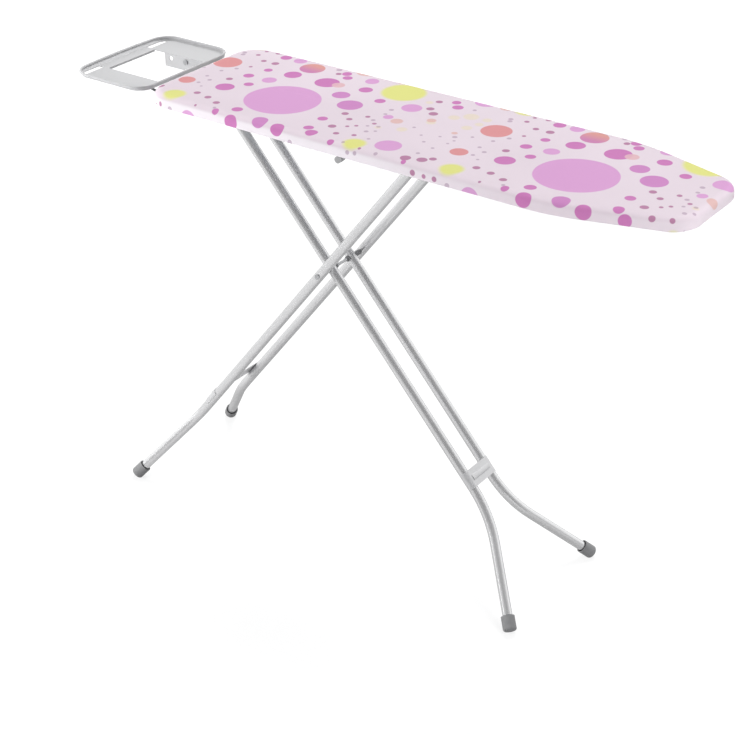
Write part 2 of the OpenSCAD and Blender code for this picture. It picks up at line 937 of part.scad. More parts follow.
module outer_leg() {
    leg_tube(outer_y, outer_up, outer_bend_at, outer_bend_r, outer_bend, outer_splay);
}

module inner_leg_far() {
    color("#cfd2d5")
    inner_frame()
        inner_leg();
}

module inner_leg_near() {
    color("#cfd2d5")
    inner_frame()
        mirror([0, 1, 0])
            inner_leg();
}

module outer_leg_far() {
    color("#cfd2d5")
    outer_frame()
        outer_leg();
}

module outer_leg_near() {
    color("#cfd2d5")
    outer_frame()
        mirror([0, 1, 0])
            outer_leg();
}

// A plate across two tubes at y, wrapped over their outer sides, with a raised rib
module cross_plate(at, w, y) {
    low = tube_r + saddle_gap;
    rib_r = 9;
    rib_h = 2.2;
    union() {
        translate([at, -y, low])
            cube([w, 2 * y, plate_t]);
        for (s = [-1, 1])
            translate([at, s * y, 0])
                rotate([90, 0, 90])
                    intersection() {
                        difference() {
                            cylinder(r = low + plate_t, h = w);
                            translate([0, 0, -eps])
                                cylinder(r = low, h = w + 2 * eps);
                        }
                        translate([s < 0 ? -2 * tube_d : 0, 0, -eps])
                            cube([2 * tube_d, 2 * tube_d, w + 2 * eps]);
                    }
        intersection() {
            translate([at + w / 2, y - 4, low + plate_t + rib_h - rib_r])
                rotate([90, 0, 0])
                    cylinder(r = rib_r, h = 2 * y - 8);
            translate([at, -y, low + plate_t / 2])
                cube([w, 2 * y, rib_r]);
        }
    }
}

module inner_leg_plate() {
    color("#d2d4d6")
    inner_frame()
        cross_plate(inner_plate_at, inner_plate_w, inner_y);
}

module outer_leg_plate() {
    color("#d2d4d6")
    outer_frame()
        cross_plate(outer_plate_at, outer_plate_w, outer_y);
}

// A cap over the tube's end, with its end at the end of the splay, for the far side
module foot_cap(y, at, bend_r, bend, splay) {
    translate([at + bend_r * sin(bend), y + bend_r * (1 - cos(bend)), 0])
        rotate([0, 0, bend])
            translate([splay, 0, 0])
                rotate([0, -90, 0])
                    difference() {
                        rotate_extrude()
                            union() {
                                square([foot_r - foot_round, foot_l]);
                                translate([0, foot_round])
                                    square([foot_r, foot_l - foot_round]);
                                translate([foot_r - foot_round, foot_round])
                                    intersection() {
                                        circle(r = foot_round);
                                        translate([0, -foot_round])
                                            square([foot_round, 2 * foot_round]);
                                    }
                            }
                        translate([0, 0, tube_end_gap])
                            cylinder(r = tube_r + 0.02, h = foot_l);
                    }
}

// Keeps what stands above the floor
module above_floor() {
    intersection() {
        children();
        translate([-overall_l, -board_w, 0])
            cube([2 * overall_l, 2 * board_w, axle_h]);
    }
}

module inner_foot() {
    foot_cap(inner_y, inner_bend_at, inner_bend_r, inner_bend, inner_splay);
}

module outer_foot() {
    foot_cap(outer_y, outer_bend_at, outer_bend_r, outer_bend, outer_splay);
}

module inner_foot_far() {
    color("#6e7073")
    above_floor()
        inner_frame()
            inner_foot();
}

module inner_foot_near() {
    color("#6e7073")
    above_floor()
        inner_frame()
            mirror([0, 1, 0])
                inner_foot();
}

module outer_foot_far() {
    color("#6e7073")
    above_floor()
        outer_frame()
            outer_foot();
}

module outer_foot_near() {
    color("#6e7073")
    above_floor()
        outer_frame()
            mirror([0, 1, 0])
                outer_foot();
}

// ---------- rods and axle ----------

glide_y = rail_y - side_gap - glide_flange_t;
glide_l = rail_t + 2 * (side_gap + glide_flange_t);

module slider_rod() {
    color("#8f9499")
    headed_rod(slider_x, hinge_z, rod_d, glide_y + glide_l + 0.2, rod_d / 2 + head_over, head_t);
}

// A flanged bush that runs in the rail's slot, for the far side
module slider_glide() {
    translate([slider_x, glide_y, hinge_z])
        rotate([-90, 0, 0])
            difference() {
                union() {
                    cylinder(r = glide_flange_r, h = glide_flange_t);
                    cylinder(d = glide_d, h = glide_l);
                    translate([0, 0, glide_l - glide_flange_t])
                        cylinder(r = glide_flange_r, h = glide_flange_t);
                }
                translate([0, 0, -eps])
                    cylinder(r = rod_d / 2 + run_gap, h = glide_l + 2 * eps);
            }
}

module slider_glides() {
    color("#4a4c4f")
    union() {
        slider_glide();
        mirror([0, 1, 0])
            slider_glide();
    }
}

axle_half = outer_y + tube_r + 0.2;

module pivot_axle() {
    color("#b9bcc0")
    headed_rod(axle_x, axle_h, axle_d, axle_half, axle_head_r, head_t);
}

// A ring along Y from y, for the far side
module ring_on_axle(y, l, r, fn) {
    translate([axle_x, y, axle_h])
        rotate([-90, 0, 0])
            difference() {
                cylinder(r = r, h = l, $fn = fn);
                translate([0, 0, -eps])
                    cylinder(r = axle_d / 2 + run_gap, h = l + 2 * eps);
            }
}

module pivot_spacers() {
    start = inner_y + tube_r + side_gap;
    l = outer_y - tube_r - side_gap - start;
    color("#3f4144")
    union() {
        ring_on_axle(start, l, axle_head_r, $fn);
        mirror([0, 1, 0])
            ring_on_axle(start, l, axle_head_r, $fn);
    }
}

module pivot_nuts() {
    l = 5;
    start = inner_y - tube_r - side_gap - l;
    color("#4a4c4f")
    union() {
        ring_on_axle(start, l, 6, 6);
        mirror([0, 1, 0])
            ring_on_axle(start, l, 6, 6);
    }
}

rim_frame();
mesh_top();
rear_strut();
hinge_strut();
middle_strut();
lever_strut();
centre_strut();
front_strut();
foam_pad();
cover();
leg_hinge_bracket();
leg_hinge_rod();
guide_rail_near();
guide_rail_far();
lever_bracket_outer();
lever_bracket_inner();
brake_bracket();
brake_pivot_pin();
rest_rim();
rest_tray();
rest_arm_near();
rest_arm_far();
rest_socket_near();
rest_socket_far();
rest_screws();
lever_spring();
inner_leg_near();
inner_leg_far();
inner_leg_plate();
inner_foot_near();
inner_foot_far();
outer_leg_near();
outer_leg_far();
outer_leg_plate();
outer_foot_near();
outer_foot_far();
slider_rod();
slider_glides();
pivot_axle();
pivot_spacers();
pivot_nuts();
lever_rod();
lever_grip();
brake_bar();
brake_lining();
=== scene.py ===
# %% [markdown]
# # A folding ironing board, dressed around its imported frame
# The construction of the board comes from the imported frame: tubes, plates, feet, rails and brake
# are there at their real size. This script adds what a frame can't hold: the stretched cotton
# cover with its print, the pad under it, the smooth rolled rim of the iron rest, and the finish
# of every surface. Each step is a cell with a few words first.

# %% Load the frame
import json
import math

import bmesh
import bpy
import numpy as np
from mathutils import Matrix, Vector


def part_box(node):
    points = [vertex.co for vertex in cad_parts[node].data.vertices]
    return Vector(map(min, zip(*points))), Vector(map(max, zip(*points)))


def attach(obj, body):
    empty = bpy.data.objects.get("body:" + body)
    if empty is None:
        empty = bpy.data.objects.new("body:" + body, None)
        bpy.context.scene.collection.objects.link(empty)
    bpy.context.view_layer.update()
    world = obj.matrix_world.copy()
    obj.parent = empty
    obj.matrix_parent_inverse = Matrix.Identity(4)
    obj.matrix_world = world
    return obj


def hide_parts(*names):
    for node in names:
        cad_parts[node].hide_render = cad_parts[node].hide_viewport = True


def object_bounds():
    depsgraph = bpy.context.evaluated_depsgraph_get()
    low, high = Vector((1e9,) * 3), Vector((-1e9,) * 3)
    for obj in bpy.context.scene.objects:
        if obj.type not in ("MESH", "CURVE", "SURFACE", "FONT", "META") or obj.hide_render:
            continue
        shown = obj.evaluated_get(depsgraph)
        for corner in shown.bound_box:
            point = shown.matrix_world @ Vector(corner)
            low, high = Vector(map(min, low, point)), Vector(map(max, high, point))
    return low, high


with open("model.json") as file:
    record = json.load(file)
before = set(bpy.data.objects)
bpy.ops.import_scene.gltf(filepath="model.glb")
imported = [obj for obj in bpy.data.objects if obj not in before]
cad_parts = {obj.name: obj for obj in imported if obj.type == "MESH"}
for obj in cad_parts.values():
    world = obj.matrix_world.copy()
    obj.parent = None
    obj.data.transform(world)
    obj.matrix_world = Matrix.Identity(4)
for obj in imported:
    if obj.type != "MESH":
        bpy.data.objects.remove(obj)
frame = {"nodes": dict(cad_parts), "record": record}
cad_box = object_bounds()
scene = bpy.context.scene

# %% [markdown]
# ## Camera
# The board is looked at from its nose end, a little above the top. A long lens keeps its
# long sides nearly parallel. The camera is turned in three plain steps: around the vertical,
# then down, then a hair of roll.

# %% Camera
camera_data = bpy.data.cameras.new("camera")
camera_data.lens = 85.77
camera_data.sensor_width = 36.0
camera_data.dof.use_dof = False
camera = bpy.data.objects.new("camera", camera_data)
scene.collection.objects.link(camera)
heading = Matrix.Rotation(math.radians(35.82), 4, "Z")
tilt = Matrix.Rotation(math.radians(90 - 29.39), 4, "X")
roll = Matrix.Rotation(math.radians(-0.11), 4, "Z")
camera.matrix_world = Matrix.Translation((1.78773, -2.53305, 2.13212)) @ heading @ tilt @ roll
scene.camera = camera
print("camera stands", round(camera.location.length, 2), "m from the origin")

# %% [markdown]
# ## Light
# A plain studio: a large soft lamp low on the left and near side, one overhead, a small one close
# to the nose, and a dim even sky. The lamps themselves are not mirrored, so no highlight burns
# out. What makes a bright tube read as round is what it mirrors: a white floor below the horizon,
# and above it a room that is darker on the side where the eye stands. So the world is white to
# the eye, dim for diffuse light, and a soft slope from dark to light in reflections.

# %% Lamps and world
def soft_lamp(name, direction, distance, size, level, along=0.5):
    """An area lamp that aims at a share of the board's length; level 1 lights what faces it fully."""
    target = (cad_box[0] + cad_box[1]) / 2
    target.x = cad_box[0].x + along * (cad_box[1].x - cad_box[0].x)
    data = bpy.data.lights.new(name, "AREA")
    data.shape = "SQUARE"
    data.size = size
    data.energy = level * math.pi ** 2 * distance ** 2
    lamp = bpy.data.objects.new(name, data)
    scene.collection.objects.link(lamp)
    toward = Vector(direction).normalized()
    lamp.location = target + toward * distance
    lamp.rotation_mode = "QUATERNION"
    lamp.rotation_quaternion = toward.to_track_quat("Z", "Y")
    lamp.visible_glossy = False
    return lamp


soft_lamp("key_lamp", (-0.66, -0.73, 0.16), 3.0, 1.4, 0.76)
soft_lamp("top_lamp", (-0.15, 0.45, 0.88), 5.0, 2.4, 0.64)
soft_lamp("nose_lamp", (0.78, -0.32, 0.50), 1.1, 0.7, 0.62, along=1.0)

scene.view_settings.view_transform = "Standard"
world = bpy.data.worlds.new("studio")
scene.world = world
world.use_nodes = True
tree = world.node_tree
dim = tree.nodes["Background"]
dim.inputs["Color"].default_value = (0.97, 0.98, 1.0, 1)
dim.inputs["Strength"].default_value = 0.33
white = tree.nodes.new("ShaderNodeBackground")
white.inputs["Color"].default_value = (1, 1, 1, 1)
white.inputs["Strength"].default_value = 1.0
room = tree.nodes.new("ShaderNodeBackground")
room.inputs["Color"].default_value = (1, 1, 1, 1)
looking = tree.nodes.new("ShaderNodeVectorMath")
looking.operation = "DOT_PRODUCT"
tree.links.new(tree.nodes.new("ShaderNodeTexCoord").outputs["Generated"], looking.inputs[0])
looking.inputs[1].default_value = (0.52, -0.73, 0.44)
slope = tree.nodes.new("ShaderNodeMapRange")
slope.interpolation_type = "SMOOTHSTEP"
for name, value in (("From Min", -0.2), ("From Max", 0.9), ("To Min", 1.05), ("To Max", 0.22)):
    slope.inputs[name].default_value = value
tree.links.new(looking.outputs["Value"], slope.inputs["Value"])
tree.links.new(slope.outputs["Result"], room.inputs["Strength"])
path = tree.nodes.new("ShaderNodeLightPath")
below = dim.outputs[0]
for ray, shader in (("Is Glossy Ray", room), ("Is Transmission Ray", white), ("Is Camera Ray", white)):
    mix = tree.nodes.new("ShaderNodeMixShader")
    tree.links.new(path.outputs[ray], mix.inputs["Fac"])
    tree.links.new(below, mix.inputs[1])
    tree.links.new(shader.outputs[0], mix.inputs[2])
    below = mix.outputs[0]
tree.links.new(below, tree.nodes["World Output"].inputs["Surface"])
print("lamps and world are set")

# %% [markdown]
# ## Helpers for node materials
# A finish is built from a Principled shader and a few textures. `Nodes` keeps the calls short:
# each method adds one node and returns its output, so a finish reads like a recipe.

# %% Material helpers
def linear(value):
    """One channel from 0 to 255, as a display shows it, turned into the linear value a shader takes."""
    share = value / 255
    return share / 12.92 if share <= 0.04045 else ((share + 0.055) / 1.055) ** 2.4


def tone(red, green, blue):
    return (linear(red), linear(green), linear(blue), 1.0)


class Nodes:
    """A material's node tree with one short call per node."""

    def __init__(self, name):
        self.material = bpy.data.materials.new(name)
        self.material.use_nodes = True
        self.tree = self.material.node_tree
        self.shader = self.tree.nodes["Principled BSDF"]

    def node(self, kind, **settings):
        made = self.tree.nodes.new("ShaderNode" + kind)
        for key, value in settings.items():
            setattr(made, key, value)
        return made

    def feed(self, made, inputs):
        for key, value in inputs.items():
            socket = made.inputs[key]
            if isinstance(value, bpy.types.NodeSocket):
                self.tree.links.new(value, socket)
            else:
                socket.default_value = value
        return made

    def math(self, operation, first, second=0.0, clamp=False):
        made = self.node("Math", operation=operation, use_clamp=clamp)
        return self.feed(made, {0: first, 1: second}).outputs[0]

    def vector(self, operation, first, second=(0, 0, 0)):
        made = self.node("VectorMath", operation=operation)
        self.feed(made, {0: first, 1: second})
        return made.outputs["Value" if operation in ("DISTANCE", "DOT_PRODUCT", "LENGTH") else "Vector"]

    def place(self):
        """The point in the row frame, in metres."""
        return self.node("TexCoord").outputs["Object"]

    def noise(self, scale, detail=2.0, rough=0.5, at=None, squash=(1, 1, 1)):
        point = self.vector("MULTIPLY", at or self.place(), squash)
        made = self.node("TexNoise")
        self.feed(made, {"Vector": point, "Scale": scale, "Detail": detail, "Roughness": rough})
        return made.outputs["Fac"]

    def ramp(self, value, low, high, out_low=0.0, out_high=1.0, smooth=False):
        made = self.node("MapRange", clamp=True)
        made.interpolation_type = "SMOOTHSTEP" if smooth else "LINEAR"
        self.feed(made, {"Value": value, "From Min": low, "From Max": high,
                         "To Min": out_low, "To Max": out_high})
        return made.outputs["Result"]

    def blend(self, share, first, second, kind="MIX"):
        made = self.node("Mix", data_type="RGBA", blend_type=kind, clamp_factor=True)
        self.feed(made, {"Factor": share})
        self.feed_colour(made.inputs[6], first)
        self.feed_colour(made.inputs[7], second)
        return made.outputs[2]

    def feed_colour(self, socket, value):
        if isinstance(value, bpy.types.NodeSocket):
            self.tree.links.new(value, socket)
        else:
            socket.default_value = value

    def bump(self, height, distance, strength=1.0, normal=None):
        made = self.node("Bump")
        self.feed(made, {"Height": height, "Distance": distance, "Strength": strength})
        if normal is not None:
            self.feed(made, {"Normal": normal})
        return made.outputs["Normal"]

    def finish(self, **sockets):
        """Sets the shader's sockets: words with _ for spaces."""
        for key, value in sockets.items():
            name = key.replace("_", " ")
            socket = next(s for s in self.shader.inputs if s.name.lower() == name.lower())
            self.feed(self.shader, {socket.name: value})
        return self.material


print("material helpers are ready")

# %% [markdown]
# ## Painted metal
# The legs, plates, frame and rest are steel with a smooth silver-grey enamel. The flake in it
# mirrors a little, so the tubes show a bright side and a dark side with a crisp line between
# them. The sheen and the tone change slowly from place to place, and the enamel is not quite
# even. One function makes all five greys, so that they belong to one family.

# %% Painted metal
def enamel(name, colour, rough, flake, uneven=0.0):
    n = Nodes(name)
    dark = tuple(c * 0.96 for c in colour[:3]) + (1,)
    sockets = {
        "Base_Color": n.blend(n.ramp(n.noise(9.0, 3.0), 0.3, 0.75), colour, dark),
        "Metallic": flake,
        "Roughness": n.ramp(n.noise(12.0, 2.0), 0.3, 0.7, rough - 0.01, rough + 0.03),
        "Specular_IOR_Level": 0.5,
    }
    if uneven:
        sockets["Normal"] = n.bump(n.noise(120.0, 2.0), uneven)
    return n.finish(**sockets)


tube_paint = enamel("tube_paint", tone(242, 242, 243), 0.22, 0.72)
plate_paint = enamel("plate_paint", tone(224, 224, 225), 0.32, 0.35)
frame_paint = enamel("frame_paint", tone(210, 212, 215), 0.40, 0.10, 0.00001)
rest_paint = enamel("rest_paint", tone(212, 212, 213), 0.42, 0.05, 0.00001)
arm_paint = enamel("arm_paint", tone(84, 85, 88), 0.36, 0.10)
print("painted metals: 5")

# %% [markdown]
# ## Bare steel, plastics and rubber
# Rods and screws are zinc-plated steel with fine turning lines around their axis, which all lie
# across the board. The caps on the feet are a matt moulded plastic, and the brake lining is
# plain black rubber.

# %% Bare steel, plastics and rubber
def turned_steel(name, colour):
    n = Nodes(name)
    lines = n.noise(400.0, 2.0, squash=(0.2, 3.0, 0.2))
    base = n.blend(n.ramp(n.noise(60.0, 2.0), 0.35, 0.7), colour, tuple(c * 0.8 for c in colour[:3]) + (1,))
    return n.finish(
        Base_Color=base,
        Metallic=0.6,
        Roughness=n.ramp(lines, 0.3, 0.7, 0.24, 0.40),
        Normal=n.bump(lines, 0.00002),
    )


def moulded(name, colour, rough, grain=0.00006):
    n = Nodes(name)
    speck = n.noise(1500.0, 2.0)
    base = n.blend(n.ramp(n.noise(25.0, 3.0), 0.3, 0.7), colour, tuple(c * 0.85 for c in colour[:3]) + (1,))
    return n.finish(
        Base_Color=base,
        Roughness=n.ramp(speck, 0.3, 0.7, rough - 0.06, rough + 0.06),
        Specular_IOR_Level=0.45,
        Normal=n.bump(speck, grain),
    )


rod_steel = turned_steel("rod_steel", tone(208, 209, 211))
foot_plastic = moulded("foot_plastic", tone(150, 150, 151), 0.45)
grip_plastic = moulded("grip_plastic", tone(174, 174, 175), 0.42)
dark_plastic = moulded("dark_plastic", tone(128, 129, 131), 0.40)
lining_rubber = moulded("lining_rubber", tone(44, 44, 45), 0.80)
print("steel, plastics and rubber: 5")

# %% [markdown]
# ## The print
# The cotton is printed with loose dots, as bought by the metre: one big orchid disc, coral and
# magenta dots around it, soft yellow ones, and trails of tiny dots. The print repeats every
# 64 cm along the board. Each colour is a list of dots as (x, y, radius) in centimetres on the
# flat cloth, and the shader takes the nearest dot's edge. Toward the nose the cord has pulled the
# cloth about a centimetre across. The flat cloth's own coordinates are kept in a UV map, so that
# the print runs over the edge just as the cloth does. The side of the cloth gets painted light:
# it is blended toward a near-white, most of all at the rear, because the plain lamps alone leave
# it too close to the top's tone.

# %% Dots of the print
REPEAT_CM = 64.0
PRINT_START_CM = -46.0
DRIFT_CM = 1.0
DRIFT_FROM, DRIFT_TO = 0.20, 0.52
# Share of the painted light on the side of the cloth, which is blended toward near-white.
SKIRT_PAINTED_LIGHT = 0.70
CRISP = 0.0008
THREADS = 2200.0

ORCHID_DOTS = [
    (-20.6, -4.9, 7.5), (-29.5, 2.2, 1.5), (-12.5, 13.3, 1.4), (2.1, 5.8, 2.0),
    (9.2, -12.0, 2.5), (1.1, -0.5, 1.0), (12.1, 16.4, 2.2),
    (-31.1, 14.4, 1.4), (-34.3, -19.5, 1.8),
]
MAGENTA_DOTS = [
    (-27.5, 7.2, 1.8), (-19.3, 7.6, 2.5), (-10.8, 8.8, 1.4), (-34.1, -5.9, 1.9), (-34.4, 1.8, 1.1),
    (-34.7, 14.3, 1.2), (-19.0, 13.8, 1.0), (-17.6, 12.1, 1.0), (-31.3, -2.0, 1.0), (-24.4, -13.9, 1.1),
    (-5.0, 5.4, 1.1), (-8.4, -8.3, 1.0), (-12.9, -16.5, 1.45), (-27.8, -16.4, 0.75), (-23.7, -17.7, 1.5),
    (-33.2, 6.5, 0.9), (-0.7, -16.2, 0.7), (15.4, -16.2, 0.5),
    (-7.8, -13.4, 1.0), (-5.9, -15.0, 1.2), (7.4, 13.2, 0.9), (9.0, 11.2, 1.1),
]
MALLOW_DOTS = [(-13.0, 3.7, 1.8), (-8.4, 0.3, 2.5), (-17.4, -15.8, 1.6)]
PLUM_DOTS = [
    (-34.4, 10.3, 0.8), (-36.3, -1.9, 0.7), (-36.4, -11.5, 0.7), (-33.1, -12.2, 0.7), (-29.9, -13.5, 0.7),
    (-6.5, -3.8, 0.7), (-4.2, -5.6, 0.6), (-4.7, -10.3, 0.8), (-2.0, -12.7, 0.6), (19.3, -12.6, 0.7),
    (-20.4, 12.9, 0.6), (-37.3, 10.2, 0.6), (-37.6, 15.4, 0.6), (5.2, 7.5, 0.8), (7.1, 5.7, 0.9),
    (4.5, 11.6, 0.7), (-37.3, 6.0, 0.4), (-2.1, -2.6, 0.5), (1.2, -11.5, 0.5), (5.6, -15.9, 0.32),
    (17.9, -14.0, 1.0), (15.0, -14.9, 1.0),
    (6.6, 17.0, 0.7), (3.0, 17.2, 0.5), (-2.4, -8.7, 0.4), (-1.2, -7.5, 0.4), (-32.8, -16.3, 0.28),
    (-40.5, 12.4, 0.5), (-40.3, 14.9, 0.4), (0.9, -4.7, 0.45),
    (-41.6, -17.8, 0.5), (-43.8, -17.8, 0.42), (17.8, -17.7, 0.55),
]
TINY_DOTS = [
    (-38.9, 3.5, 0.45), (-40.6, 0.8, 0.4), (-41.0, -3.1, 0.4), (-39.1, -4.6, 0.45), (-40.0, -6.9, 0.4),
    (-38.2, -8.2, 0.3), (-43.6, 11.8, 0.5), (-21.6, 14.7, 0.6), (-0.5, 2.8, 0.5), (-0.3, -3.4, 0.45),
    (0.5, -6.3, 0.35), (1.9, -8.7, 0.45), (9.3, -16.1, 0.4), (16.7, -1.6, 0.5), (19.3, 0.3, 0.35),
    (-0.2, 0.4, 0.4), (16.4, -8.4, 0.35), (15.6, -11.9, 0.4), (12.4, 11.8, 0.4), (8.0, -2.0, 0.35),
    (11.2, -4.4, 0.3), (13.4, -6.8, 0.35), (14.4, -3.0, 0.3), (17.6, -3.2, 0.3), (17.4, -5.0, 0.3),
    (2.4, -5.5, 0.4), (3.2, -7.6, 0.35), (4.4, -11.4, 0.35), (-28.6, -15.6, 0.35), (-9.6, -18.4, 0.5),
    (1.6, -15.4, 0.35), (-15.2, -19.2, 0.5), (-37.2, 17.0, 0.5), (-38.9, -18.4, 0.5), (20.8, 10.8, 0.5),
    (3.5, -17.3, 0.42), (5.1, -17.1, 0.4),
]
CORAL_DOTS = [(-42.7, 5.3, 2.95), (-42.8, -7.1, 1.7)]
PEACH_DOTS = [
    (-16.7, 7.8, 1.3), (3.6, -1.3, 1.2), (-16.2, 16.9, 2.2), (-7.4, 16.6, 1.2), (16.8, 16.2, 1.3),
    (8.7, 2.7, 0.9), (15.6, 0.0, 0.6),
]
SUNSET_DOTS = [(-26.5, 12.3, 2.6)]
YELLOW_DOTS = [(-39.6, -14.4, 2.15), (-3.8, 11.7, 4.4), (3.6, -14.6, 2.1), (20.8, 17.0, 2.2)]
STRAW_DOTS = [
    (6.7, -4.1, 1.0), (11.3, 6.4, 1.1), (13.7, 8.6, 1.5), (17.1, 8.8, 0.9), (17.0, 6.2, 0.8),
    (16.0, 3.5, 1.0), (2.5, -5.8, 0.6), (9.2, 1.8, 0.9), (3.2, 10.2, 0.7),
]
ALL_DOTS = (
    ORCHID_DOTS + MAGENTA_DOTS + MALLOW_DOTS + PLUM_DOTS + TINY_DOTS + CORAL_DOTS + PEACH_DOTS
    + SUNSET_DOTS + YELLOW_DOTS + STRAW_DOTS
)
print("dots in one repeat:", len(ALL_DOTS))

# %% Printed cotton
def over_the_seam(dots):
    """The dots, with a copy on the other side of the repeat's seam where one reaches across it."""
    found = list(dots)
    for x, y, radius in dots:
        if x - radius < PRINT_START_CM:
            found.append((x + REPEAT_CM, y, radius))
        if x + radius > PRINT_START_CM + REPEAT_CM:
            found.append((x - REPEAT_CM, y, radius))
    return found


def edge_of(n, point, dots):
    """Distance in metres from the edge of the nearest dot, less than 0 inside it."""
    nearest = None
    for x, y, radius in over_the_seam(dots):
        reach = n.vector("DISTANCE", point, (x / 100, y / 100, 0))
        edge = n.math("SUBTRACT", reach, radius / 100)
        nearest = edge if nearest is None else n.math("MINIMUM", nearest, edge)
    return nearest


def printed_cotton():
    n = Nodes("printed_cotton")
    cut = n.node("UVMap", uv_map="flat_cut").outputs["UV"]
    split = n.node("SeparateXYZ")
    n.feed(split, {0: cut})
    start, period = PRINT_START_CM / 100, REPEAT_CM / 100
    drift = n.ramp(split.outputs["X"], DRIFT_FROM, DRIFT_TO, 0.0, DRIFT_CM / 100, smooth=True)
    from_seam = n.math("SUBTRACT", split.outputs["X"], start)
    shifted = n.math("SUBTRACT", from_seam, n.math("MULTIPLY", drift, 0.2))
    along = n.math("ADD", n.math("FLOORED_MODULO", shifted, period), start)
    across = n.math("SUBTRACT", split.outputs["Y"], drift)
    join = n.node("CombineXYZ")
    n.feed(join, {0: along, 1: across, 2: 0.0})
    point = join.outputs[0]

    ground = n.blend(n.ramp(n.noise(4.0, 2.0), 0.35, 0.7), tone(238, 224, 233), tone(232, 218, 227))
    height = n.node("SeparateXYZ")
    n.feed(height, {0: n.place()})
    top_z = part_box("cover")[1].z
    # Painted light: the side of the cloth, from a few millimetres under the top downwards, is blended
    # toward near-white, strongest toward the rear, in place of lamp light on it.
    painted_skirt_light = n.ramp(height.outputs["Z"], top_z - 0.011, top_z - 0.005, SKIRT_PAINTED_LIGHT, 0.0, smooth=True)
    painted_skirt_light = n.math("MULTIPLY", painted_skirt_light, n.ramp(split.outputs["X"], 0.0, 0.42, 1.0, 0.2, smooth=True))
    ground = n.blend(painted_skirt_light, ground, tone(250, 246, 250))
    layers = [
        (YELLOW_DOTS, tone(231, 232, 134), 0.0055, 0.96),
        (STRAW_DOTS, tone(236, 222, 190), 0.0030, 0.62),
        (PEACH_DOTS, tone(228, 180, 170), 0.0016, 0.75),
        (CORAL_DOTS, tone(226, 150, 152), CRISP, 0.97),
        (TINY_DOTS, tone(176, 146, 172), CRISP, 0.62),
        (PLUM_DOTS, tone(184, 122, 160), CRISP, 0.92),
        (MAGENTA_DOTS, tone(208, 124, 188), CRISP, 0.97),
        (ORCHID_DOTS, tone(223, 164, 215), CRISP, 0.97),
        (MALLOW_DOTS, tone(210, 138, 199), CRISP, 0.97),
    ]
    colour = ground
    for dots, ink, softness, share in layers:
        cover = n.ramp(edge_of(n, point, dots), -softness, softness, share, 0.0, smooth=True)
        colour = n.blend(cover, colour, ink)
    cover = n.ramp(edge_of(n, point, SUNSET_DOTS), -CRISP, CRISP, 0.97, 0.0, smooth=True)
    sunset = n.blend(n.ramp(across, 0.108, 0.138), tone(208, 132, 180), tone(226, 160, 152))
    colour = n.blend(cover, colour, sunset)
    bite = n.ramp(edge_of(n, point, PEACH_DOTS[:1]), -CRISP, CRISP, 0.85, 0.0, smooth=True)
    colour = n.blend(bite, colour, tone(232, 190, 198))

    warp = n.math("SINE", n.math("MULTIPLY", split.outputs["X"], THREADS))
    weft = n.math("SINE", n.math("MULTIPLY", across, THREADS))
    weave = n.math("MULTIPLY", warp, weft)
    slub = n.noise(300.0, 3.0, at=cut, squash=(1.0, 6.0, 1.0))
    colour = n.blend(n.ramp(slub, 0.5, 0.8, 0.0, 0.06), colour, tone(190, 176, 190))
    soft = n.bump(n.noise(14.0, 3.0), 0.0012, 0.5)
    return n.finish(
        Base_Color=colour,
        Roughness=0.88,
        Specular_IOR_Level=0.2,
        Sheen_Weight=0.12,
        Sheen_Roughness=0.5,
        Normal=n.bump(weave, 0.00012, 0.5, soft),
    )


cover_cotton = printed_cotton()
print("printed cotton has", len(cover_cotton.node_tree.nodes), "nodes")

# %% [markdown]
# ## Outlines
# The board and the iron rest are both rounded polygons. `rounded` walks around such a polygon
# and gives evenly counted points with the direction that points outwards at each, so that any
# edge, hem or rim can be swept along it.

# %% Rounded outlines
def rounded(corners, inset=0.0, step=0.012, arc_steps=12):
    """Points and outward directions around a polygon; corners are (x, y, radius), anticlockwise."""
    count = len(corners)
    flat = [Vector(c[:2]) for c in corners]
    ways = [(flat[(i + 1) % count] - flat[i]).normalized() for i in range(count)]
    arcs = []
    for i in range(count):
        before, after = ways[i - 1], ways[i]
        n_before, n_after = Vector((before.y, -before.x)), Vector((after.y, -after.x))
        radius = corners[i][2]
        centre = flat[i] - (n_before + n_after) * radius / (1 + n_before.dot(n_after))
        turn = math.acos(max(-1, min(1, n_before.dot(n_after))))
        start = math.atan2(n_before.y, n_before.x)
        arc = []
        for k in range(arc_steps + 1):
            angle = start + turn * k / arc_steps
            out = Vector((math.cos(angle), math.sin(angle)))
            arc.append((centre + out * (radius - inset), out))
        arcs.append(arc)
    points, outs = [], []
    for i, arc in enumerate(arcs):
        following = arcs[(i + 1) % count][0]
        points += [p for p, _ in arc]
        outs += [out for _, out in arc]
        gap = following[0] - arc[-1][0]
        pieces = max(1, round(gap.length / step)) if isinstance(step, float) else step[i]
        for k in range(1, pieces):
            points.append(arc[-1][0] + gap * k / pieces)
            outs.append(arc[-1][1])
    return np.array([p[:] for p in points]), np.array([out[:] for out in outs])


def enclosed_area(points):
    x, y = points[:, 0], points[:, 1]
    return abs(np.dot(x, np.roll(y, -1)) - np.dot(y, np.roll(x, -1))) / 2


cover_low, cover_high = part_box("cover")
REAR_X, NOSE_X = cover_low.x, cover_high.x
HALF_W = cover_high.y
SURFACE_Z, EDGE_Z = cover_high.z, cover_low.z
REAR_R, TAPER_L, NOSE_HALF = 0.058, 0.222, 0.100
board_corners = [
    (REAR_X, -HALF_W, REAR_R), (NOSE_X - TAPER_L, -HALF_W, 0.420), (NOSE_X, -NOSE_HALF, 0.058),
    (NOSE_X, NOSE_HALF, 0.058), (NOSE_X - TAPER_L, HALF_W, 0.420), (REAR_X, HALF_W, REAR_R),
]
print("board:", round(NOSE_X - REAR_X, 4), "by", round(2 * HALF_W, 4), "m")

